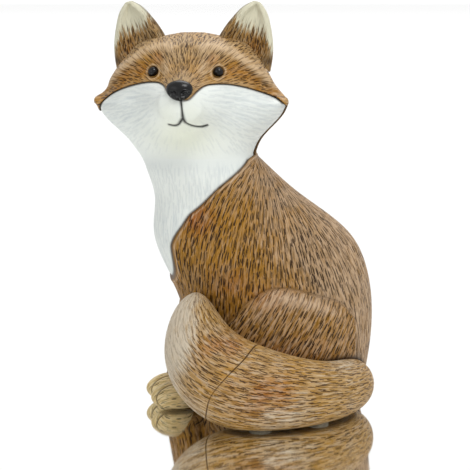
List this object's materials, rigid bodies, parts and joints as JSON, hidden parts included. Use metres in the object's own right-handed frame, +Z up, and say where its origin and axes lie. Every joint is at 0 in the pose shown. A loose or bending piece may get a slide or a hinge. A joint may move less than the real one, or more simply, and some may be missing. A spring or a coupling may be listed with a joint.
{
  "type": "fox figurine",
  "caption": "Sitting fox ornament in painted cast resin, head turned to the viewer, white face and bib, tail wrapped round to the front, on felt pads.",
  "frame": {"origin": "middle of the bounding box's footprint, on the floor under the felt pads", "axes": "+Z up, the face looks towards -Y, the chest points towards -X; +X is to the viewer's right"},
  "size_m": [0.1378, 0.1184, 0.1998],
  "materials": {
    "brown_coat": "satin painted resin, dark wash in engraved fur",
    "brown_mask": "satin painted resin, dark wash in engraved fur",
    "tail_fur": "satin painted resin, dark wash in engraved fur",
    "ear_fur": "satin painted resin with pale brushed tips",
    "paw_tan": "satin painted resin",
    "white_fur": "satin painted resin, faint grey streaks",
    "eye_bead": "gloss black",
    "nose_black": "satin black",
    "bare_resin": "unpainted cast resin",
    "wood_pin": "plain beech",
    "felt": "pressed felt"
  },
  "bodies": {
    "root": {"coat_shell": "brown_coat", "chest_bib": "white_fur", "mask_cap": "brown_mask", "face_ruff": "white_fur", "left_ear": "ear_fur", "right_ear": "ear_fur", "left_eye": "eye_bead", "right_eye": "eye_bead", "nose_button": "nose_black", "tail_root": "tail_fur", "tail_tip": "tail_fur", "left_forepaw": "paw_tan", "right_forepaw": "paw_tan", "right_hindpaw": "paw_tan", "neck_sleeve": "bare_resin", "tail_dowel": "wood_pin", "tail_tip_dowel": "wood_pin", "base_plate": "bare_resin", "pad_under_tail": "felt", "pad_under_tail_bend": "felt", "pad_under_forepaw": "felt", "pad_under_haunch": "felt"}
  },
  "joints": []
}
